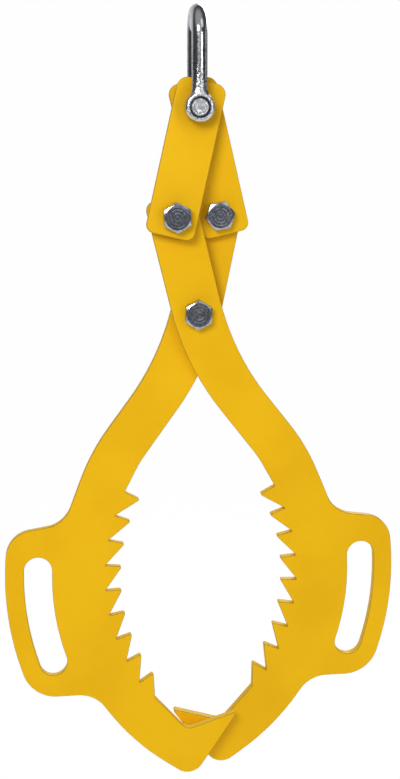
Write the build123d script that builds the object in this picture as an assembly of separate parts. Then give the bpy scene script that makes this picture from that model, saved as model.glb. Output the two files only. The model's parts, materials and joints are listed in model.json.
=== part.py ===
from build123d import *
import os
from math import asin, atan, atan2, ceil, cos, degrees, hypot, radians, sin, tan

os.makedirs("parts", exist_ok=True)

# Log tongs hanging closed from a shackle. Millimetres, X to the right, Y to the back, Z up.
# The origin is the seat of the hook, inside the crown of the shackle's bow.

# Flat plates
plate = 8.0
rim_round = 0.7
plate_gap = 0.4
bolt_play = 1.0
pin_play = 1.0

# Links, from the pin's hole to the bolt's hole. The shift moves the outline outwards from the line of the holes,
# and the lean turns it outwards about the pin's hole.
link_length = 90.0
link_shift = 0.5
link_lean = 1.2
link_width = 40.5
link_head = 22.0
link_foot = 17.0
link_head_round = 9.0
link_foot_round = 7.0

# Upper bar of an arm, from the pivot's hole to the bolt's hole. Closed, a nut is this far from the other arm's edge.
bar_length = 83.5
bar_width = 42.0
arm_end = 16.0
arm_end_round = 8.0
closed_gap = 1.73
arm_lean = 0.77

# Jaw: teeth on a circle, whose middle lies out from the pivot by the reach and down by the drop
jaw_reach = 85.0
jaw_drop = 231.5
root_radius = 166.5
tooth_depth = 15.2
tooth_count = 9
tooth_spacing = 22.4
first_tooth_rise = 82.0
tooth_tip_round = 1.4
tooth_root_round = 0.5

# Leg from the bar to the jaw. Each straight edge has a point outside the circle of the roots, at an angle above
# the first tooth, and a heading.
outer_leg_offset = 42.3
outer_leg_angle = 14.5
outer_leg_heading = -52.4
outer_leg_round = 220.0
outer_shin_offset = 38.2
outer_shin_angle = -4.7
outer_shin_heading = -68.0
outer_shin_round = 185.0
inner_knee_offset = 2.4
inner_knee_angle = 9.85
inner_knee_round = 100.0
inner_leg_heading = 127.0
inner_leg_round = 230.0

# Hand hold outside the jaw, its rim and slot at offsets from the circle of the roots, its top at angles below
# the first tooth
shoulder_offset = 61.4
shoulder_angle = -15.7
shoulder_heading = -8.5
shoulder_round = 26.0
hold_top_round = 24.0
rim_offset = 85.0
rim_from = -23.2
rim_to = -17.0
hold_drop = 26.0
hold_bottom_heading = 180.0
hold_bottom_round = 30.0
neck_drop = 16.9
neck_round = 28.0
slot_offset = 57.0
slot_width = 24.0
slot_from = 3.3
slot_to = -17.8

# Toe of the jaw, its end at angles below the last tooth
toe_offset = 36.5
toe_to = -21.5
toe_bottom_round = 15.0
toe_end_heading = 125.0
toe_corner_inset = 32.7
toe_corner_angle = -33.3
toe_corner_round = 1.5
toe_top_heading = -17.2
throat_inset = 1.0
throat_angle = -15.2
throat_heading = 48.5
throat_round = 10.0

# Shackle
bow_bar = 12.7
bow_inside = 69.0
eye_diameter = 24.0
eye_extra = 0.9
eye_round = 2.5
eye_blend = 14.0
eye_chamfer = 0.8
pin_diameter = 16.0
pin_thread_gap = 0.1
pin_eye_gap = 0.4
pin_recess = 0.3
pin_point = 1.0
collar_diameter = 24.0
collar_width = 5.0
tab_diameter = 24.0
tab_thickness = 8.0
tab_reach = 13.0
tab_hole = 9.0
forging_round = 1.2

# Bolts, locking nuts and washers
bolt_diameter = 14.0
bolt_stock_step = 5.0
bolt_thread_out = 2.0
bolt_point = 1.5
hex_ratio = 1.571
head_height = 8.8
head_chamfer = 1.3
nut_height = 14.0
nut_hex_height = 9.6
nut_collar_step = 1.25
nut_thread_gap = 0.1
insert_wall = 1.25
insert_height = 2.8
insert_lip = 0.8
insert_cover = 0.6
washer_diameter = 28.0
washer_play = 0.5
washer_thickness = 2.5
seat_gap = 0.1
left_head_turn = -3.0
right_head_turn = 19.0
pivot_head_turn = 3.0

# Sizes that follow from these
bolt_hole = bolt_diameter + 2 * bolt_play
pin_hole = pin_diameter + 2 * pin_play
washer_hole = bolt_diameter + 2 * washer_play
eye_width = bow_bar + eye_extra
eye_radius = eye_diameter / 2
nut_bore = bolt_diameter + 2 * nut_thread_gap
hex_flats = hex_ratio * bolt_diameter
hex_corner = hex_flats / 2 / cos(radians(30))
nut_collar = hex_flats - 2 * nut_collar_step
insert_diameter = nut_collar - 2 * insert_wall
washer_radius = washer_diameter / 2
bar_half = bar_width / 2
link_half = link_width / 2

# Rest angles of the linkage, closed until the nuts come near the arms' edges
edge_reach = max(bar_half, link_half)
nut_reach = max(washer_radius, hex_corner)
arm_angle = degrees(asin((edge_reach + nut_reach + closed_gap) / bar_length)) / 2
half_spread = bar_length * sin(radians(arm_angle))
link_angle = degrees(asin(half_spread / link_length))
arm_rise = bar_length * cos(radians(arm_angle))
link_drop = link_length * cos(radians(link_angle))

# Angles of the teeth about the jaw's centre
pitch_angle = degrees(tooth_spacing / root_radius)
first_angle = degrees(first_tooth_rise / root_radius)
last_angle = first_angle - (tooth_count - 1) * pitch_angle

# Heights of the axes
pin_z = -bow_inside
bolt_z = pin_z - link_drop
pivot_z = bolt_z - arm_rise


def heading(angle):
    return Vector(cos(radians(angle)), sin(radians(angle)))


def meet(line, other):
    # Point where two lines cross, each given as x, z and heading
    start = Vector(line[0], line[1])
    way = heading(line[2])
    across = heading(other[2])
    to_other = Vector(other[0], other[1]) - start
    along = (to_other.X * across.Y - to_other.Y * across.X) / (way.X * across.Y - way.Y * across.X)
    return start + way * along


def on_jaw(offset, angle):
    # Point at an offset outside the circle of the roots, at an angle about the jaw's centre
    centre = Vector(jaw_reach - root_radius, -jaw_drop)
    return centre + heading(angle) * (root_radius + offset)


def jaw_line(offset, angle, way):
    point = on_jaw(offset, angle)
    return (point.X, point.Y, way)


def jaw_tangent(offset, angle):
    return jaw_line(offset, angle, angle - 90)


def rounded_face(corners):
    # Flat face whose corners are given as a point and a radius
    points = [corner[0] for corner in corners]
    rounds = [corner[1] for corner in corners]
    return make_face(FilletPolyline(*points, radius=rounds, close=True))


def tooth_corners():
    # Teeth from the lowest up: an edge on a radius above, a long flank below
    corners = []
    for index in reversed(range(tooth_count)):
        angle = first_angle - index * pitch_angle
        corners.append((on_jaw(-tooth_depth, angle), tooth_tip_round))
        corners.append((on_jaw(0, angle), tooth_root_round))
    return corners


def last_flank():
    tip = on_jaw(-tooth_depth, last_angle)
    root = on_jaw(0, last_angle - pitch_angle)
    return (tip.X, tip.Y, degrees(atan2(root.Y - tip.Y, root.X - tip.X)))


def arm_outline():
    # Front arm's outline about the pivot, closed, without the lean: bar up to the left, jaw down to the right
    along_bar = 90 + arm_angle
    top = heading(along_bar) * (bar_length + arm_end)
    side = heading(arm_angle) * bar_half
    bar_top = (top.X, top.Y, arm_angle)
    bar_outer = (side.X, side.Y, along_bar)
    bar_inner = (-side.X, -side.Y, along_bar)
    outer_leg = jaw_line(outer_leg_offset, first_angle + outer_leg_angle, outer_leg_heading)
    outer_shin = jaw_line(outer_shin_offset, first_angle + outer_shin_angle, outer_shin_heading)
    shoulder = jaw_line(shoulder_offset, first_angle + shoulder_angle, shoulder_heading)
    rim_upper = jaw_tangent(rim_offset, first_angle + rim_from)
    rim_lower = jaw_tangent(rim_offset, rim_to)
    hold_bottom = (rim_lower[0], rim_lower[1] - hold_drop, hold_bottom_heading)
    neck_fall = -jaw_drop - hold_bottom[1] + neck_drop
    toe_upper = jaw_tangent(toe_offset, -degrees(asin(neck_fall / (root_radius + toe_offset))))
    toe_lower = jaw_tangent(toe_offset, last_angle + toe_to)
    toe_end = jaw_line(-toe_corner_inset, last_angle + toe_corner_angle, toe_end_heading)
    toe_top = jaw_line(-toe_corner_inset, last_angle + toe_corner_angle, toe_top_heading)
    throat = jaw_line(-throat_inset, last_angle + throat_angle, throat_heading)
    inner_leg = jaw_line(inner_knee_offset, first_angle + inner_knee_angle, inner_leg_heading)
    outer_side = [
        (meet(bar_top, bar_outer), arm_end_round),
        (meet(bar_outer, outer_leg), outer_leg_round),
        (meet(outer_leg, outer_shin), outer_shin_round),
        (meet(outer_shin, shoulder), shoulder_round),
        (meet(shoulder, rim_upper), hold_top_round),
        (meet(rim_upper, rim_lower), root_radius + rim_offset),
        (meet(rim_lower, hold_bottom), hold_bottom_round),
        (meet(hold_bottom, toe_upper), neck_round),
        (meet(toe_upper, toe_lower), root_radius + toe_offset),
        (meet(toe_lower, toe_end), toe_bottom_round),
    ]
    inner_side = [
        (Vector(toe_top[0], toe_top[1]), toe_corner_round),
        (meet(toe_top, throat), throat_round),
        (meet(throat, last_flank()), tooth_root_round),
        *tooth_corners(),
        (Vector(inner_leg[0], inner_leg[1]), inner_knee_round),
        (meet(inner_leg, bar_inner), inner_leg_round),
        (meet(bar_inner, bar_top), arm_end_round),
    ]
    slot_line = CenterArc(on_jaw(-root_radius, 0), root_radius + slot_offset, slot_from, slot_to - slot_from)
    return rounded_face(outer_side + inner_side) - SlotArc(slot_line, slot_width)


def link_outline():
    # Left link's outline about the pin
    along = 270 - link_angle - link_lean
    outer = heading(along - 90) * (link_half + link_shift)
    inner = heading(along + 90) * (link_half - link_shift)
    head = heading(along) * -link_head
    foot = heading(along) * (link_length + link_foot)
    return rounded_face([
        (head + outer, link_head_round),
        (head + inner, link_head_round),
        (foot + inner, link_foot_round),
        (foot + outer, link_foot_round),
    ])


def mirrored(face):
    return mirror(face, Plane.YZ)


front_face = Rot(0, 0, arm_lean) * arm_outline()
rear_face = Rot(0, 0, arm_lean) * mirrored(arm_outline())
left_face = link_outline()
right_face = mirrored(left_face)

# Depths, back face of the front arm first. The rear arm leans so that its top clears the right link and its
# jaw comes to the front, and the left link leans so that its foot clears the front arm.
crossing = (front_face & rear_face).faces().sort_by_distance((0, 0, 0))[0]
crotch_drop = -crossing.bounding_box().min.Y
link_reach = link_half + link_shift
foot_shift = link_length * sin(radians(link_lean))
foot_reach = hypot(link_reach + foot_shift, link_foot)
head_reach = hypot(link_reach, link_head)
end_reach = hypot(bar_half, arm_end)
rear_slope = (plate + plate_gap) / (arm_rise + crotch_drop - foot_reach)
left_slope = (plate + plate_gap) / (link_drop + head_reach - end_reach)
rear_tilt = degrees(atan(rear_slope))
left_tilt = degrees(atan(left_slope))
rear_depth = plate / cos(radians(rear_tilt))
left_depth = plate / cos(radians(left_tilt))
left_front_from_arm = -head_reach * left_slope - left_depth
front_eye_from_arm = left_front_from_arm - eye_radius * left_slope - plate_gap
back_eye_from_arm = plate_gap + plate + plate_gap
jaw_width = back_eye_from_arm - front_eye_from_arm

# The same depths from the middle of the shackle
arm_back_y = -(back_eye_from_arm + front_eye_from_arm) / 2
arm_front_y = arm_back_y - plate
right_front_y = arm_back_y + plate_gap
rear_front_y = arm_back_y + plate_gap + crotch_drop * rear_slope
left_back_y = arm_back_y - head_reach * left_slope


def upright(face, back_y, axis_z):
    # Plate with its back at a depth, its outline's zero at a height
    ground = Plane(origin=(0, back_y, axis_z), x_dir=(1, 0, 0), z_dir=(0, -1, 0))
    return extrude(ground * face, plate)


def tilted(face, front_y, axis_z, tilt):
    # Plate whose front passes a depth at its outline's zero, with its top leaning to the back
    flat = upright(face, plate, 0)
    return Pos(0, front_y, axis_z) * Rot(-tilt, 0, 0) * flat


def bore(x, z, diameter):
    # Cutter along Y, long enough for every plate
    return Pos(x, 0, z) * Rot(90, 0, 0) * Cylinder(diameter / 2, 2 * (link_length + bar_length))


def softened(body):
    # Plate with the rims of its two flat sides rounded
    sides = body.faces().filter_by(GeomType.PLANE).sort_by(SortBy.AREA)[-2:]
    return fillet(sides.edges(), rim_round)


left_link = tilted(left_face, left_back_y - left_depth, pin_z, left_tilt)
left_link -= bore(0, pin_z, pin_hole) + bore(-half_spread, bolt_z, bolt_hole)
right_link = upright(right_face, right_front_y + plate, pin_z)
right_link -= bore(0, pin_z, pin_hole) + bore(half_spread, bolt_z, bolt_hole)
front_arm = upright(front_face, arm_back_y, pivot_z)
front_arm -= bore(0, pivot_z, bolt_hole) + bore(-half_spread, bolt_z, bolt_hole)
rear_arm = tilted(rear_face, rear_front_y, pivot_z, rear_tilt)
rear_arm -= bore(0, pivot_z, bolt_hole) + bore(half_spread, bolt_z, bolt_hole)


def along_y(front_y, shape):
    # Turn a shape modelled up Z to run to the back along Y, its foot at a depth
    return Pos(0, front_y, 0) * Rot(-90, 0, 0) * shape


def post(diameter, height, foot=0.0):
    # Round post up Z from a foot
    return Pos(0, 0, foot) * Cylinder(diameter / 2, height, align=(Align.CENTER, Align.CENTER, Align.MIN))


def hexagon(height, turn):
    # Hexagonal prism up Z with a point to the top of the tongs, its lower corners chamfered
    sides = extrude(RegularPolygon(hex_flats / 2, 6, major_radius=False, rotation=90 + turn), height)
    cap = post(2 * hex_corner, height)
    return sides & chamfer(cap.edges().sort_by(Axis.Z)[0], head_chamfer, head_chamfer / tan(radians(30)))


def bolt(turn, length):
    # Head below zero, shank up Z
    shank = post(bolt_diameter, length)
    shank = chamfer(shank.edges().sort_by(Axis.Z)[-1], bolt_point)
    return Pos(0, 0, -head_height) * hexagon(head_height, turn) + shank


def insert_groove():
    return post(insert_diameter, insert_height, nut_height - insert_lip - insert_height)


def lip_opening():
    return post(insert_diameter - 2 * insert_cover, insert_lip, nut_height - insert_lip)


def locking_nut(turn):
    hex_part = Rot(180, 0, 0) * Pos(0, 0, -nut_hex_height) * hexagon(nut_hex_height, turn)
    collar = post(nut_collar, nut_height)
    collar = fillet(collar.edges().sort_by(Axis.Z)[-1], insert_lip)
    return hex_part + collar - insert_groove() - lip_opening() - post(nut_bore, nut_height)


def washer(thickness):
    return post(washer_diameter, thickness) - post(washer_hole, thickness)


def bolt_set(name, x, z, head_y, washer_y, turn):
    # Bolt of a stock length with its head at a depth, and the washer, nut and ring behind
    nut_y = washer_y + washer_thickness + seat_gap
    needed = nut_y + nut_height + bolt_thread_out - head_y
    length = bolt_stock_step * ceil(needed / bolt_stock_step)
    place = Pos(x, 0, z)
    return {
        name + "_bolt": place * along_y(head_y, bolt(turn, length)),
        name + "_washer": place * along_y(washer_y, washer(washer_thickness)),
        name + "_nut": place * along_y(nut_y, locking_nut(turn)),
        name + "_insert": place * along_y(nut_y, insert_groove() - post(nut_bore, nut_height)),
    }


# Each head and washer clears the highest point of a leaning plate under it
left_front_y = left_back_y - left_depth - link_drop * left_slope
left_head_y = left_front_y - hex_corner * left_slope - seat_gap
left_washer_y = arm_back_y + seat_gap
right_head_y = right_front_y - seat_gap
right_washer_y = rear_front_y + arm_rise * rear_slope + rear_depth + washer_radius * rear_slope + seat_gap
pivot_head_y = arm_front_y - seat_gap
pivot_washer_y = rear_front_y + rear_depth + washer_radius * rear_slope + seat_gap
spacer_thickness = rear_front_y - washer_radius * rear_slope - arm_back_y - 2 * seat_gap

nodes = {
    "left_link": softened(left_link),
    "right_link": softened(right_link),
    "front_arm": softened(front_arm),
    "rear_arm": softened(rear_arm),
}
nodes.update(bolt_set("left", -half_spread, bolt_z, left_head_y, left_washer_y, left_head_turn))
nodes.update(bolt_set("right", half_spread, bolt_z, right_head_y, right_washer_y, right_head_turn))
nodes.update(bolt_set("pivot", 0, pivot_z, pivot_head_y, pivot_washer_y, pivot_head_turn))
nodes["pivot_spacer"] = Pos(0, 0, pivot_z) * along_y(arm_back_y + seat_gap, washer(spacer_thickness))

# Shackle: two legs, a half ring over them and an eye at each foot
leg_y = jaw_width / 2 + eye_width / 2
crown_z = bow_bar / 2 - leg_y
leg = Pos(0, 0, pin_z) * Cylinder(
    bow_bar / 2, crown_z - pin_z, align=(Align.CENTER, Align.CENTER, Align.MIN)
)
crown_section = Pos(0, -leg_y, crown_z) * Circle(bow_bar / 2)
crown = revolve(crown_section, Axis((0, 0, crown_z), (1, 0, 0)), -180)


def bow_side(side):
    # Leg and eye on one side, blended like a forging
    eye = Cylinder(eye_radius, eye_width)
    eye = fillet(eye.edges().filter_by(GeomType.CIRCLE), eye_round)
    joined = Pos(0, side * leg_y, pin_z) * Rot(90, 0, 0) * eye + Pos(0, side * leg_y, 0) * leg
    seam = joined.edges().filter_by_position(Axis.Z, pin_z + eye_radius / 2, pin_z + eye_radius + seat_gap)
    return fillet(seam, eye_blend)


shackle_bow = bow_side(-1) + bow_side(1) + crown
front_eye_y = -jaw_width / 2 - eye_width
back_eye_y = jaw_width / 2 + eye_width
thread_hole = pin_diameter + 2 * pin_thread_gap
clear_hole = pin_diameter + 2 * pin_eye_gap
countersink = Cone(thread_hole / 2 + eye_chamfer, thread_hole / 2, eye_chamfer)
countersink = along_y(front_eye_y + eye_chamfer / 2, countersink)
front_cut = along_y(front_eye_y, post(thread_hole, eye_width)) + countersink
back_cut = along_y(back_eye_y - eye_width, post(clear_hole, eye_width))
nodes["shackle_bow"] = shackle_bow - Pos(0, 0, pin_z) * front_cut - Pos(0, 0, pin_z) * back_cut

# Screw pin: shank, collar and a drilled tab behind the back eye
collar_y = back_eye_y + seat_gap
shank_y = front_eye_y + pin_recess
tab_y = collar_y + collar_width + tab_reach
shank = post(pin_diameter, collar_y - shank_y)
shank = along_y(shank_y, chamfer(shank.edges().sort_by(Axis.Z)[0], pin_point))
collar = post(collar_diameter, collar_width)
collar = along_y(collar_y, fillet(collar.edges().filter_by(GeomType.CIRCLE), forging_round))
tab_disc = Cylinder(tab_diameter / 2, tab_thickness)
tab_disc = Pos(0, tab_y, 0) * Rot(0, 90, 0) * fillet(tab_disc.edges().filter_by(GeomType.CIRCLE), forging_round)
tab_root = Pos(0, tab_y - tab_reach / 2, 0) * Box(tab_thickness, tab_reach, pin_diameter)
tab_bore = Pos(0, tab_y, 0) * Rot(0, 90, 0) * Cylinder(tab_hole / 2, tab_thickness)
nodes["shackle_pin"] = Pos(0, 0, pin_z) * (shank + collar + tab_disc + tab_root - tab_bore)

for name, shape in nodes.items():
    shape.label = name
    export_step(shape, "parts/" + name + ".step")

print("arm angle", round(arm_angle, 3), "link angle", round(link_angle, 3))
print("pin z", round(pin_z, 3), "bolt z", round(bolt_z, 3), "pivot z", round(pivot_z, 3))
print("jaw of the shackle", round(jaw_width, 2), "crotch below pivot", round(crotch_drop, 1))
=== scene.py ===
import json
from math import ceil, cos, pi, radians, sin, tan

import bpy
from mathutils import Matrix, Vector


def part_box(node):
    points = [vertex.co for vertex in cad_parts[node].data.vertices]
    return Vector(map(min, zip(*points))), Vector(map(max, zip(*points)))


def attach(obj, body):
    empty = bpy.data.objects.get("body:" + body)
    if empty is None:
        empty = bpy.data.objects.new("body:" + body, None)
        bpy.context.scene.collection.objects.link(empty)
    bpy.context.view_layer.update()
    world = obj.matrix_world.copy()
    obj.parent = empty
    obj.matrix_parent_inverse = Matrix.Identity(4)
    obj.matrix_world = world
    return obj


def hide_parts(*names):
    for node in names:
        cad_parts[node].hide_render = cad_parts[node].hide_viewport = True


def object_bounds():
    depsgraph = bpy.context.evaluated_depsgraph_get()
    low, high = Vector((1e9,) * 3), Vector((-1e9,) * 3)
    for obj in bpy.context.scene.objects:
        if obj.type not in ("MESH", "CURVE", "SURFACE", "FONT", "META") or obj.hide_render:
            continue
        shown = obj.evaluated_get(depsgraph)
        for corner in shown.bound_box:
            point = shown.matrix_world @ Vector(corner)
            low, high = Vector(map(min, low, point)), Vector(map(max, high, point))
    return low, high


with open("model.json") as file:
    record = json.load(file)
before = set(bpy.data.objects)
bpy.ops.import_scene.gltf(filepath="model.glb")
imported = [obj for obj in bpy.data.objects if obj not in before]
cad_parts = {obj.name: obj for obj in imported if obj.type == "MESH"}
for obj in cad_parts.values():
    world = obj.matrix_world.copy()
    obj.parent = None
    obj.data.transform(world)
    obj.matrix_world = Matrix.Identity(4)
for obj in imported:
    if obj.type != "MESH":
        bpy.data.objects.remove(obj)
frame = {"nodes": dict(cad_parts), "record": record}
cad_low, cad_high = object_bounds()

# Millimetres
mm = 0.001

# Hex bolts and locking nuts
bolt_diameter = 14.0 * mm
bolt_pitch = 2.0 * mm
bolt_point = 1.5 * mm
plain_shank = 6.0 * mm
hex_flats = 22.0 * mm
hex_corner = hex_flats / 2 / cos(radians(30))
hex_face = 0.915 * hex_flats / 2
hex_chamfer_angle = radians(21)
hex_edge = 0.25 * mm
head_height = 8.8 * mm
turned_mark = 2.6 * mm
head_turns = {"left": -3.0, "right": 19.0, "pivot": 3.0}
nut_turns = {place: -turn for place, turn in head_turns.items()}
nut_height = 14.0 * mm
nut_hex_height = 9.6 * mm
nut_collar = 19.5 * mm
nut_lip = 0.8 * mm
nut_countersink = 0.8 * mm
ring_diameter = 17.0 * mm
ring_height = 2.8 * mm
ring_cover = 0.6 * mm
ring_edge = 0.3 * mm
ring_foot = nut_height - nut_lip - ring_height

# Washers
washer_diameter = 28.0 * mm
washer_hole = 15.0 * mm
washer_roll = 0.5 * mm
washer_burr = 0.15 * mm

# How far in from a rolled edge its middle point lies, as a share of the roll
roll_share = 0.3

# Screw pin of the shackle
pin_height = -69.0 * mm
pin_diameter = 16.0 * mm
pin_pitch = 2.3 * mm
pin_point = 1.0 * mm
pin_thread = 15.0 * mm
pin_nose = 7.6 * mm
pin_nose_length = 3.0 * mm
pin_dimple = 5.2 * mm
pin_dimple_step = 0.6 * mm
pin_dimple_depth = 0.9 * mm
collar_diameter = 24.0 * mm
collar_width = 5.0 * mm
tab_diameter = 24.0 * mm
tab_thickness = 8.0 * mm
tab_reach = 13.0 * mm
tab_hole = 9.0 * mm
tab_hole_flare = 0.5 * mm
tab_voxel = 0.4 * mm
tab_smoothing = 8

# Threads, as shares of the pitch. A thread starts below its foot,
# a little off a step, so that no cut runs through a corner.
thread_depth = 0.6134
thread_flank = 0.3125
thread_crest = 0.125
thread_lead = 2.00625
spare_turns = 4

# Fits and fineness
thread_gap = 0.1 * mm
turn_steps = 96
thread_steps = 40
weld = 0.002 * mm
proud = 0.5 * mm
sharp_angle = radians(25)
crease_angle = radians(16)
forged_crease = radians(22)

# Looks near the pin, as distances from its axis: painted shade on the paint,
# scale of the forging, dull pits on the leg, and painted shade in the gap round the pin's front end
shade_core = 15.0 * mm
shade_edge = 26.0 * mm
scale_core = 17.0 * mm
scale_edge = 36.0 * mm
pits_from = 13.0 * mm
pits_full = 20.0 * mm
pits_fade = 30.0 * mm
pits_to = 68.0 * mm
gap_shade_from = 7.7 * mm
gap_shade_full = 8.1 * mm
gap_shade_fade = 8.5 * mm
gap_shade_to = 9.0 * mm

# Depths at which the front eye's painted gap shade is still full, and has ended
front_eye_full = -12.0 * mm
front_eye_to = -10.0 * mm

record = frame["record"]
body_of = {node: body for body, nodes in record["behaviour"]["bodies"].items() for node in nodes}
slot_of = {part["node"]: part["material_slot"] for part in record["subparts"]}


def middle_of(node):
    low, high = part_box(node)
    return (low + high) / 2


def depth_of(node):
    # Length of a node along Y
    low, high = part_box(node)
    return high.y - low.y


# Materials

class Wire:
    # A socket of a finish, with arithmetic that adds Math nodes
    def __init__(self, finish, socket):
        self.finish = finish
        self.socket = socket

    def math(self, operation, first, second):
        return self.finish.add("ShaderNodeMath", {"operation": operation}, {0: first, 1: second})

    def __add__(self, other):
        return self.math("ADD", self, other)

    def __sub__(self, other):
        return self.math("SUBTRACT", self, other)

    def __rsub__(self, other):
        return self.math("SUBTRACT", other, self)

    def __mul__(self, other):
        return self.math("MULTIPLY", self, other)

    def least(self, other):
        return self.math("MINIMUM", self, other)

    def sine(self):
        return self.math("SINE", self, 0.0)

    def __abs__(self):
        return self.math("ABSOLUTE", self, 0.0)

    __radd__ = __add__
    __rmul__ = __mul__


class Finish:
    # The nodes of one material or of the world
    def __init__(self, owner):
        owner.use_nodes = True
        self.owner = owner
        self.tree = owner.node_tree
        self.tree.nodes.clear()

    def add(self, kind, settings=None, sockets=None, output=0):
        # Add a node, set it up, fill or link its sockets, and give one of its outputs
        node = self.tree.nodes.new(kind)
        for name, value in (settings or {}).items():
            setattr(node, name, value)
        for name, value in (sockets or {}).items():
            if isinstance(value, Wire):
                self.tree.links.new(value.socket, node.inputs[name])
            else:
                node.inputs[name].default_value = value
        return Wire(self, node.outputs[output]) if node.outputs else node

    def place(self, stretch=(1.0, 1.0, 1.0)):
        # Row coordinates in metres, stretched
        here = self.add("ShaderNodeTexCoord", output="Object")
        return self.add("ShaderNodeMapping", None, {"Vector": here, "Scale": stretch})

    def part_of(self, vector, axis):
        return self.add("ShaderNodeSeparateXYZ", None, {0: vector}, output=axis)

    def along(self, vector, axis):
        # How far a vector points along an axis
        sockets = {0: vector, 1: axis}
        return self.add("ShaderNodeVectorMath", {"operation": "DOT_PRODUCT"}, sockets, output="Value")

    def facing(self):
        # How squarely the surface faces the front or the back, from 0 to 1
        outward = self.add("ShaderNodeTexCoord", output="Normal")
        return abs(self.part_of(outward, "Y"))

    def radius_from(self, x, z):
        # Distance in metres from an axis along Y
        here = self.add("ShaderNodeTexCoord", output="Object")
        sockets = {"Vector": here, "Location": (-x, 0.0, -z), "Scale": (1.0, 0.0, 1.0)}
        offset = self.add("ShaderNodeMapping", None, sockets)
        return self.add("ShaderNodeVectorMath", {"operation": "LENGTH"}, {0: offset}, output="Value")

    def noise(self, scale, detail=2.0, roughness=0.5, stretch=(1.0, 1.0, 1.0)):
        # Uneven grain, its scale in grains per metre
        sockets = {"Vector": self.place(stretch), "Scale": scale, "Detail": detail, "Roughness": roughness}
        return self.add("ShaderNodeTexNoise", None, sockets)

    def between(self, value, low, high):
        # Smooth step from 0 at low to 1 at high
        sockets = {"Value": value, "From Min": low, "From Max": high}
        return self.add("ShaderNodeMapRange", {"interpolation_type": "SMOOTHSTEP"}, sockets)

    def ring(self, radius, start, full, fade, end):
        # 1 between two radii, and smoothly 0 inside and outside of them
        return self.between(radius, start, full) * (1.0 - self.between(radius, fade, end))

    def blend(self, factor, first, second):
        # Mix two colours
        sockets = {"Factor": factor, 6: first, 7: second}
        return self.add("ShaderNodeMix", {"data_type": "RGBA"}, sockets, output=2)

    def bump(self, height, distance, strength, under=None):
        sockets = {"Height": height, "Distance": distance, "Strength": strength}
        if under:
            sockets["Normal"] = under
        return self.add("ShaderNodeBump", None, sockets)

    def surface(self, **sockets):
        # Shader of the material, with sockets named in small letters
        named = {}
        for name, value in sockets.items():
            named[name.replace("_", " ").title().replace("Ior", "IOR")] = value
        shader = self.add("ShaderNodeBsdfPrincipled", None, named)
        self.add("ShaderNodeOutputMaterial", None, {"Surface": shader})
        return self.owner


def linear(red, green, blue):
    # Colour of a screen's 0 to 255 as Blender's linear values
    shares = (red / 255, green / 255, blue / 255)
    return tuple(c / 12.92 if c < 0.04045 else ((c + 0.055) / 1.055) ** 2.4 for c in shares) + (1.0,)


def yellow_paint():
    # Satin coat, duller on the cut walls, with painted shade darkening their rims
    finish = Finish(bpy.data.materials.new("yellow_powder_coat"))
    facing = finish.facing()
    wall = 1.0 - finish.between(facing, 0.12, 0.4)
    rim = (1.0 - wall) * (1.0 - finish.between(facing, 0.75, 0.99))
    cloud = finish.between(finish.noise(14.0, 3.0), 0.3, 0.7)
    coat = finish.blend(cloud, linear(233, 179, 12), linear(240, 187, 16))
    cut_edge = finish.blend(finish.noise(160.0, 3.0), linear(218, 178, 44), linear(234, 190, 48))
    # Painted shade: a darker olive line on every rim, standing in for the shade at the outlines
    painted_rim_shade = finish.blend(finish.noise(240.0, 3.0), linear(146, 120, 38), linear(180, 147, 42))
    colour = finish.blend(rim, finish.blend(wall, coat, cut_edge), painted_rim_shade)
    # Painted shade round the pin, standing in for the shadow of the shackle's eye and legs on the links
    painted_shade_near_pin = 1.0 - finish.between(finish.radius_from(0.0, pin_height), shade_core, shade_edge)
    colour = finish.blend(0.4 * painted_shade_near_pin, colour, linear(198, 148, 8))
    peel = finish.noise(420.0, 2.0)
    strokes = finish.noise(700.0, 2.0, stretch=(1.0, 0.06, 1.0))
    normal = finish.bump(peel, 0.1 * mm, 0.35)
    normal = finish.bump(strokes * wall, 0.15 * mm, 0.5, normal)
    rough = 0.4 + 0.12 * finish.noise(60.0, 3.0)
    return finish.surface(base_color=colour, roughness=rough, specular_ior_level=0.1, normal=normal)


def bright_zinc():
    # Zinc over a forging, rougher towards the eyes, with pits up the leg and painted shade in the gap round
    # the pin's front end
    finish = Finish(bpy.data.materials.new("bright_zinc"))
    radius = finish.radius_from(0.0, pin_height)
    forged = 1.0 - finish.between(radius, scale_core, scale_edge)
    front_eye = 1.0 - finish.between(finish.part_of(finish.place(), "Y"), front_eye_full, front_eye_to)
    painted_gap_shade = finish.ring(radius, gap_shade_from, gap_shade_full, gap_shade_fade, gap_shade_to)
    lumps = finish.noise(130.0, 3.0)
    scale = finish.noise(420.0, 3.0, 0.6)
    leg = finish.ring(radius, pits_from, pits_full, pits_fade, pits_to)
    pits = leg * finish.between(finish.noise(560.0, 3.0, 0.65), 0.46, 0.6)
    colour = finish.blend(finish.noise(70.0, 3.0), linear(186, 189, 194), linear(222, 224, 228))
    colour = finish.blend(0.75 * pits, colour, linear(84, 86, 92))
    # Painted shade: a dark ring where the pin's front end meets the eye, standing in for the shadow in that
    # gap
    colour = finish.blend(0.8 * front_eye * painted_gap_shade, colour, linear(44, 44, 48))
    normal = finish.bump(lumps, 0.5 * mm, 0.4)
    normal = finish.bump(scale * (0.1 + 0.9 * forged), 1.0 * mm, 0.6, normal)
    rough = 0.07 + 0.1 * finish.noise(200.0, 3.0) + 0.03 * forged
    return finish.surface(base_color=colour, metallic=1.0, roughness=rough, normal=normal)


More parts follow.
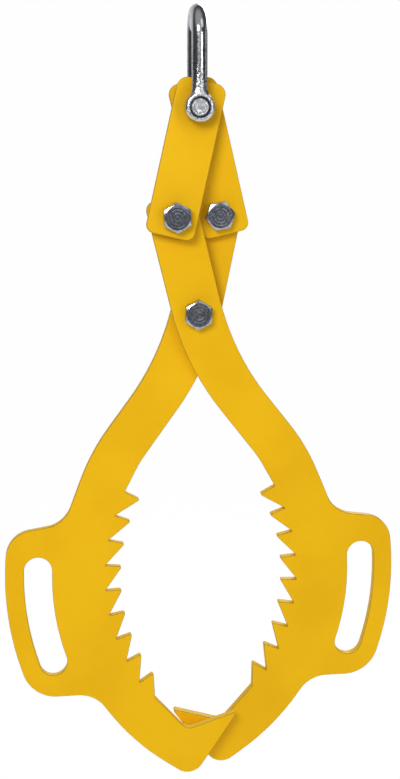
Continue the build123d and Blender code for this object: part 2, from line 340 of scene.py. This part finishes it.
def galvanised_steel():
    # Zinc, mottled, over faces that were turned round their bolt
    finish = Finish(bpy.data.materials.new("galvanised_steel"))
    mottle = finish.noise(330.0, 4.0, 0.65)
    patches = finish.between(mottle, 0.36, 0.66)
    colour = finish.blend(patches, linear(150, 155, 170), linear(196, 200, 212))
    flat = finish.between(finish.facing(), 0.94, 0.99)
    first, *others = [middle_of(place + "_bolt") for place in head_turns]
    radius = finish.radius_from(first.x, first.z)
    for other in others:
        radius = radius.least(finish.radius_from(other.x, other.z))
    wave = (radius * (2 * pi / turned_mark)).sine()
    worn = finish.between(finish.noise(110.0, 2.0), 0.35, 0.65)
    marks = flat * (0.4 + 0.6 * worn) * wave
    normal = finish.bump(marks, 0.05 * mm, 0.5)
    normal = finish.bump(mottle, 0.12 * mm, 0.5, normal)
    rough = 0.12 + 0.14 * finish.noise(420.0, 3.0)
    return finish.surface(base_color=colour, metallic=1.0, roughness=rough, normal=normal)


def natural_nylon():
    finish = Finish(bpy.data.materials.new("natural_nylon"))
    cloud = finish.noise(300.0, 2.0)
    colour = finish.blend(cloud, linear(214, 214, 206), linear(230, 230, 224))
    return finish.surface(base_color=colour, roughness=0.45 + 0.1 * cloud, subsurface_weight=0.15)


finishes = {
    "yellow_paint": yellow_paint(),
    "zinc_plate": bright_zinc(),
    "galvanised": galvanised_steel(),
    "nylon": natural_nylon(),
}
for name, slot in slot_of.items():
    node = frame["nodes"][name]
    node.data.materials.clear()
    node.data.materials.append(finishes[slot])


# Operators on one piece at a time

def take(piece):
    # Select one piece alone
    bpy.ops.object.select_all(action="DESELECT")
    piece.select_set(True)
    bpy.context.view_layer.objects.active = piece


def apply_change(piece, kind, **settings):
    # Add a modifier, set it up and apply it
    change = piece.modifiers.new("change", kind)
    for name, value in settings.items():
        setattr(change, name, value)
    take(piece)
    bpy.ops.object.modifier_apply(modifier=change.name)
    return piece


def combine(piece, tool, operation):
    # Join, cut or keep what is common, put the tool away and merge what the cut left double
    apply_change(piece, "BOOLEAN", operation=operation, solver="EXACT", object=tool)
    bpy.data.objects.remove(tool)
    bpy.ops.object.mode_set(mode="EDIT")
    close_up()
    return piece


def soften(piece, width, segments=2):
    # Round the sharp edges
    return apply_change(
        piece,
        "BEVEL",
        width=width,
        segments=segments,
        limit_method="ANGLE",
        angle_limit=sharp_angle,
    )


def chain(points):
    # Edges through points of radius and height, drawn out from a plane merged to one point.
    # They stay in edit mode.
    bpy.ops.object.select_all(action="DESELECT")
    bpy.ops.mesh.primitive_plane_add(size=mm)
    bpy.ops.object.mode_set(mode="EDIT")
    bpy.ops.mesh.select_all(action="SELECT")
    bpy.ops.mesh.merge(type="CENTER")
    bpy.ops.transform.translate(value=(points[0][0], 0, points[0][1]))
    for before, after in zip(points, points[1:]):
        step = (after[0] - before[0], 0, after[1] - before[1])
        bpy.ops.mesh.extrude_vertices_move(TRANSFORM_OT_translate={"value": step})
    bpy.ops.mesh.select_all(action="SELECT")
    return bpy.context.object


def close_up():
    # Merge doubles, turn the faces outwards and leave edit mode
    bpy.ops.mesh.select_all(action="SELECT")
    bpy.ops.mesh.remove_doubles(threshold=weld)
    bpy.ops.mesh.normals_make_consistent(inside=False)
    bpy.ops.object.mode_set(mode="OBJECT")


def turned(points):
    # Piece turned round Z
    piece = chain(points)
    bpy.ops.mesh.spin(steps=turn_steps, angle=2 * pi, center=(0, 0, 0), axis=(0, 0, 1))
    close_up()
    return piece


def threaded_rod(diameter, pitch, foot, top, point):
    # Rod up Z with a helical thread, its point chamfered at the top
    crest = diameter / 2
    root = crest - thread_depth * pitch
    low = foot - thread_lead * pitch
    profile = [
        (root, low),
        (crest, low + thread_flank * pitch),
        (crest, low + (thread_flank + thread_crest) * pitch),
        (root, low + (2 * thread_flank + thread_crest) * pitch),
        (root, low + pitch),
    ]
    piece = chain(profile)
    bpy.ops.object.mode_set(mode="OBJECT")
    apply_change(
        piece,
        "SCREW",
        screw_offset=pitch,
        iterations=ceil((top - foot) / pitch) + spare_turns,
        steps=thread_steps,
        render_steps=thread_steps,
    )
    bpy.ops.object.mode_set(mode="EDIT")
    bpy.ops.mesh.select_all(action="SELECT")
    bpy.ops.mesh.remove_doubles(threshold=weld)
    for height, way in ((foot, -1), (top, 1)):
        bpy.ops.mesh.select_all(action="SELECT")
        bpy.ops.mesh.bisect(plane_co=(0, 0, height), plane_no=(0, 0, way), use_fill=True, clear_outer=True)
    close_up()
    wide = crest + proud
    blank = turned([
        (0, foot - proud),
        (wide, foot - proud),
        (wide, top - point - proud),
        (crest - point, top),
        (0, top),
    ])
    return combine(piece, blank, "INTERSECT")


def hexagon(height, both_ends):
    # Hexagon up Z with a point along Y, its corners turned off at the foot or at both ends
    bpy.ops.object.select_all(action="DESELECT")
    centre = (0, 0, height / 2)
    bpy.ops.mesh.primitive_cylinder_add(vertices=6, radius=hex_corner, depth=height, location=centre)
    prism = bpy.context.object
    bpy.ops.object.transform_apply(location=True, rotation=True, scale=True)
    wide = hex_corner + proud
    rise = (wide - hex_face) * tan(hex_chamfer_angle)
    profile = [(0, 0), (hex_face, 0), (wide, rise)]
    if both_ends:
        profile += [(wide, height - rise), (hex_face, height), (0, height)]
    else:
        profile += [(wide, height + proud), (0, height + proud)]
    return combine(prism, turned(profile), "INTERSECT")


def settle(piece, name, node, turn=0.0, to_front=False, crease=crease_angle):
    # Turn a piece modelled up Z, and lay it along Y in its node's place, with its top to the back
    # or to the front. Then give it its finish, body and slot.
    low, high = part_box(node)
    foot = high.y if to_front else low.y
    piece.name = name
    piece.data.name = name
    piece.rotation_euler = (radians(90 if to_front else -90), radians(turn), 0)
    piece.location = ((low.x + high.x) / 2, foot, (low.z + high.z) / 2)
    take(piece)
    bpy.ops.object.transform_apply(location=True, rotation=True, scale=True)
    bpy.ops.object.shade_smooth_by_angle(angle=crease)
    piece.data.materials.clear()
    piece.data.materials.append(finishes[slot_of[node]])
    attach(piece, body_of[node])
    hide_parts(node)


def settle_copies(pattern, name, node, turns):
    # Settle a copy of a piece at each place, and put the pattern away
    for place, turn in turns.items():
        take(pattern)
        bpy.ops.object.duplicate()
        settle(bpy.context.object, place + name, place + node, turn)
    bpy.data.objects.remove(pattern)


# Bolts, nuts and washers

def hex_bolt(end):
    # Bolt up Z from its head's face to its end
    thread_foot = head_height + plain_shank
    half = bolt_diameter / 2 - thread_gap
    root = bolt_diameter / 2 - thread_depth * bolt_pitch
    head = soften(hexagon(head_height, both_ends=False), hex_edge)
    rod = threaded_rod(bolt_diameter, bolt_pitch, thread_foot - proud, end, bolt_point)
    shank = turned([
        (0, head_height - proud),
        (half, head_height - proud),
        (half, thread_foot),
        (root, thread_foot + half - root),
        (0, thread_foot + half - root),
    ])
    return combine(combine(shank, rod, "UNION"), head, "UNION")


def locking_nut():
    # Nut up Z, hexagon and round collar, bored and open at the top for its ring
    collar_half = nut_collar / 2
    opening = ring_diameter / 2 - ring_cover
    bore = bolt_diameter / 2 + thread_gap
    body = hexagon(nut_hex_height, both_ends=True)
    collar = turned([
        (0, proud),
        (collar_half, proud),
        (collar_half, nut_height - nut_lip),
        (collar_half - roll_share * nut_lip, nut_height - roll_share * nut_lip),
        (collar_half - nut_lip, nut_height),
        (opening, nut_height),
        (opening, ring_foot),
        (0, ring_foot),
    ])
    hole = turned([
        (0, -proud),
        (bore + nut_countersink + proud, -proud),
        (bore, nut_countersink),
        (bore, nut_height),
        (0, nut_height),
    ])
    nut = soften(combine(body, collar, "UNION"), hex_edge)
    return combine(nut, hole, "DIFFERENCE")


def nylon_ring():
    inner = bolt_diameter / 2 + thread_gap
    outer = ring_diameter / 2
    ring = turned([(inner, 0), (outer, 0), (outer, ring_height), (inner, ring_height), (inner, 0)])
    return soften(ring, ring_edge)


def stamped_washer(thick):
    # Washer with edges rolled over by the punch on one side and sharp on the other
    inner = washer_hole / 2
    outer = washer_diameter / 2
    return turned([
        (inner, 0),
        (outer - washer_burr, 0),
        (outer, washer_burr),
        (outer, thick - washer_roll),
        (outer - roll_share * washer_roll, thick - roll_share * washer_roll),
        (outer - washer_roll, thick),
        (inner + washer_roll, thick),
        (inner + roll_share * washer_roll, thick - roll_share * washer_roll),
        (inner, thick - washer_roll),
        (inner, 0),
    ])


side_turns = {place: head_turns[place] for place in ("left", "right")}
settle_copies(hex_bolt(depth_of("left_bolt")), "_hex_bolt", "_bolt", side_turns)
settle(hex_bolt(depth_of("pivot_bolt")), "pivot_hex_bolt", "pivot_bolt", head_turns["pivot"])
settle_copies(locking_nut(), "_locking_nut", "_nut", nut_turns)
settle_copies(nylon_ring(), "_nylon_ring", "_insert", head_turns)
settle_copies(stamped_washer(depth_of("left_washer")), "_flat_washer", "_washer", head_turns)
settle(stamped_washer(depth_of("pivot_spacer")), "pivot_spacing_washer", "pivot_spacer")


# Screw pin

def forged_tab():
    # Collar and tab up Z, run together like a forging, with a hole for wire
    centre = tab_diameter / 2
    collar_foot = centre + tab_reach
    bpy.ops.object.select_all(action="DESELECT")
    bpy.ops.mesh.primitive_cylinder_add(
        vertices=turn_steps,
        radius=tab_diameter / 2,
        depth=tab_thickness,
        location=(0, 0, centre),
        rotation=(0, radians(90), 0),
    )
    tab = bpy.context.object
    bpy.ops.object.transform_apply(location=True, rotation=True, scale=True)
    bpy.ops.object.select_all(action="DESELECT")
    bpy.ops.mesh.primitive_cube_add(size=1, location=(0, 0, centre + tab_reach / 2 + proud))
    root = bpy.context.object
    root.scale = (tab_thickness, pin_diameter, tab_reach)
    bpy.ops.object.transform_apply(location=True, rotation=True, scale=True)
    collar_half = collar_diameter / 2
    collar = turned([
        (0, collar_foot),
        (collar_half, collar_foot),
        (collar_half, collar_foot + collar_width),
        (0, collar_foot + collar_width),
    ])
    tab = combine(combine(tab, root, "UNION"), collar, "UNION")
    apply_change(tab, "REMESH", mode="VOXEL", voxel_size=tab_voxel)
    apply_change(tab, "SMOOTH", factor=0.5, iterations=tab_smoothing)
    hole_half = tab_hole / 2
    face = tab_thickness / 2
    flare = tab_hole_flare
    hole = turned([
        (0, -face - flare),
        (hole_half + 2 * flare, -face - flare),
        (hole_half, -face + flare),
        (hole_half, face - flare),
        (hole_half + 2 * flare, face + flare),
        (0, face + flare),
    ])
    hole.rotation_euler = (0, radians(90), 0)
    hole.location = (0, 0, centre)
    take(hole)
    bpy.ops.object.transform_apply(location=True, rotation=True, scale=True)
    return combine(tab, hole, "DIFFERENCE")


def screw_pin():
    # Pin with its tab at the back and its thread in the front eye
    node = "shackle_pin"
    end = depth_of(node)
    shank_foot = tab_diameter / 2 + tab_reach + collar_width / 2
    thread_foot = end - pin_thread
    half = pin_diameter / 2
    root = half - thread_depth * pin_pitch
    nose_foot = end - pin_nose_length
    rod = threaded_rod(pin_diameter, pin_pitch, thread_foot - proud, nose_foot, pin_point)
    nose = turned([
        (0, nose_foot - proud),
        (pin_nose, nose_foot - proud),
        (pin_nose, end - pin_point),
        (pin_nose - pin_point, end),
        (pin_dimple, end),
        (pin_dimple - pin_dimple_step, end - pin_dimple_step),
        (0, end - pin_dimple_depth),
    ])
    shank = turned([
        (0, shank_foot),
        (half, shank_foot),
        (half, thread_foot),
        (root, thread_foot + half - root),
        (0, thread_foot + half - root),
    ])
    pin = combine(combine(shank, rod, "UNION"), nose, "UNION")
    pin = combine(pin, forged_tab(), "UNION")
    settle(pin, "shackle_screw_pin", node, to_front=True, crease=forged_crease)


screw_pin()


# Floor, light and camera

floor_drop = 0.35
floor_size = 6.0
floor_colour = (0.95, 0.95, 0.95, 1.0)
floor_glow = 0.985
floor_shine = 0.7
white = (1.0, 1.0, 1.0, 1.0)
white_level = 0.993
sky_level = 0.41
room_level = 0.07
front_level = 0.5
front_edge = -0.8
front_core = -0.97
horizon_blur = 0.06

# Grey ceiling, skylight, window to the right and white wall behind, as metal sees them.
# Each has its way, the shares of it where it starts and is full, and its level.
panels = [
    (Vector((-0.2, -0.5, 0.85)).normalized(), 0.5, 0.95, 0.35),
    (Vector((0.5, -0.64, 0.59)).normalized(), 0.93, 0.98, 0.8),
    (Vector((0.97, 0.22, 0.0)).normalized(), 0.93, 0.99, 0.4),
    (Vector((-0.34, 0.94, 0.05)).normalized(), 0.55, 0.97, 0.6),
]


def white_floor():
    # White to the camera apart from a share that keeps the shadow, pale to metal, and matt to other light
    finish = Finish(bpy.data.materials.new("pale_floor"))
    seen = finish.add("ShaderNodeLightPath", output="Is Camera Ray")
    glossy = finish.add("ShaderNodeLightPath", output="Is Glossy Ray")
    share = seen * floor_glow + (1.0 - seen) * glossy * floor_shine
    matt = finish.add("ShaderNodeBsdfDiffuse", None, {"Color": floor_colour})
    glow = finish.add("ShaderNodeEmission", None, {"Color": white, "Strength": 1.0})
    both = finish.add("ShaderNodeMixShader", None, {0: share, 1: matt, 2: glow})
    finish.add("ShaderNodeOutputMaterial", None, {"Surface": both})
    return finish.owner


def studio_world():
    # White to the camera and even to matt surfaces. Metal sees a dark room, grey in front, and the panels.
    world = bpy.data.worlds.new("studio")
    finish = Finish(world)
    way = finish.add("ShaderNodeTexCoord", output="Generated")
    seen = finish.add("ShaderNodeLightPath", output="Is Camera Ray")
    glossy = finish.add("ShaderNodeLightPath", output="Is Glossy Ray")
    through = finish.add("ShaderNodeLightPath", output="Is Transmission Ray")
    above = finish.between(finish.part_of(way, "Z"), -horizon_blur, horizon_blur)
    front = above * finish.between(finish.part_of(way, "Y"), front_edge, front_core)
    mirrored = room_level + front_level * front
    for axis, edge, core, share in panels:
        mirrored = mirrored + share * finish.between(finish.along(way, axis), edge, core)
    bounced = (1.0 - seen) * (glossy + through)
    level = seen * white_level + bounced * mirrored + (1.0 - seen - bounced) * sky_level
    light = finish.add("ShaderNodeBackground", None, {"Color": white, "Strength": level})
    finish.add("ShaderNodeOutputWorld", None, {"Surface": light})
    bpy.context.scene.world = world


def soft_lamp(name, place, aim, width, height, power):
    # Rectangular lamp turned to its aim
    bpy.ops.object.select_all(action="DESELECT")
    bpy.ops.object.light_add(type="AREA", location=place)
    lamp = bpy.context.object
    lamp.name = name
    lamp.data.shape = "RECTANGLE"
    lamp.data.size = width
    lamp.data.size_y = height
    lamp.data.energy = power
    lamp.rotation_euler = (aim - place).to_track_quat("-Z", "Y").to_euler()


bpy.ops.object.select_all(action="DESELECT")
bpy.ops.mesh.primitive_plane_add(size=floor_size, location=(0, 0, cad_low.z - floor_drop))
floor = bpy.context.object
floor.name = "floor"
floor.data.materials.append(white_floor())
studio_world()

# Lamps: place from the middle of the object, aim, width, height and power in watts.
# The front ones aim at its upper half.
middle = (cad_low + cad_high) / 2
upper = middle + Vector((0, 0, 0.22))
lamps = [
    ("key_lamp", Vector((-0.68, -1.5, 0.88)), upper, 0.7, 0.6, 16.6),
    ("side_lamp", Vector((0.74, -1.3, 0.25)), upper, 0.5, 0.42, 2.4),
    ("back_lamp", Vector((0.7, 1.5, 0.9)), middle, 0.95, 0.9, 20.0),
]
for name, offset, aim, width, height, power in lamps:
    soft_lamp(name, middle + offset, aim, width, height, power)

# Camera at the photograph's angle
view_target = Vector((3.07, 6.0, -305.6)) * mm
view_azimuth = radians(-6.6)
view_elevation = radians(11.4)
view_distance = 1105 * mm
view_lens = 59.45
view_back = Vector((
    sin(view_azimuth) * cos(view_elevation),
    -cos(view_azimuth) * cos(view_elevation),
    sin(view_elevation),
))
bpy.ops.object.select_all(action="DESELECT")
bpy.ops.object.camera_add(location=view_target + view_back * view_distance)
camera = bpy.context.object
camera.rotation_euler = (-view_back).to_track_quat("-Z", "Y").to_euler()
camera.data.lens = view_lens
bpy.context.scene.camera = camera
bpy.context.scene.view_settings.view_transform = "Standard"
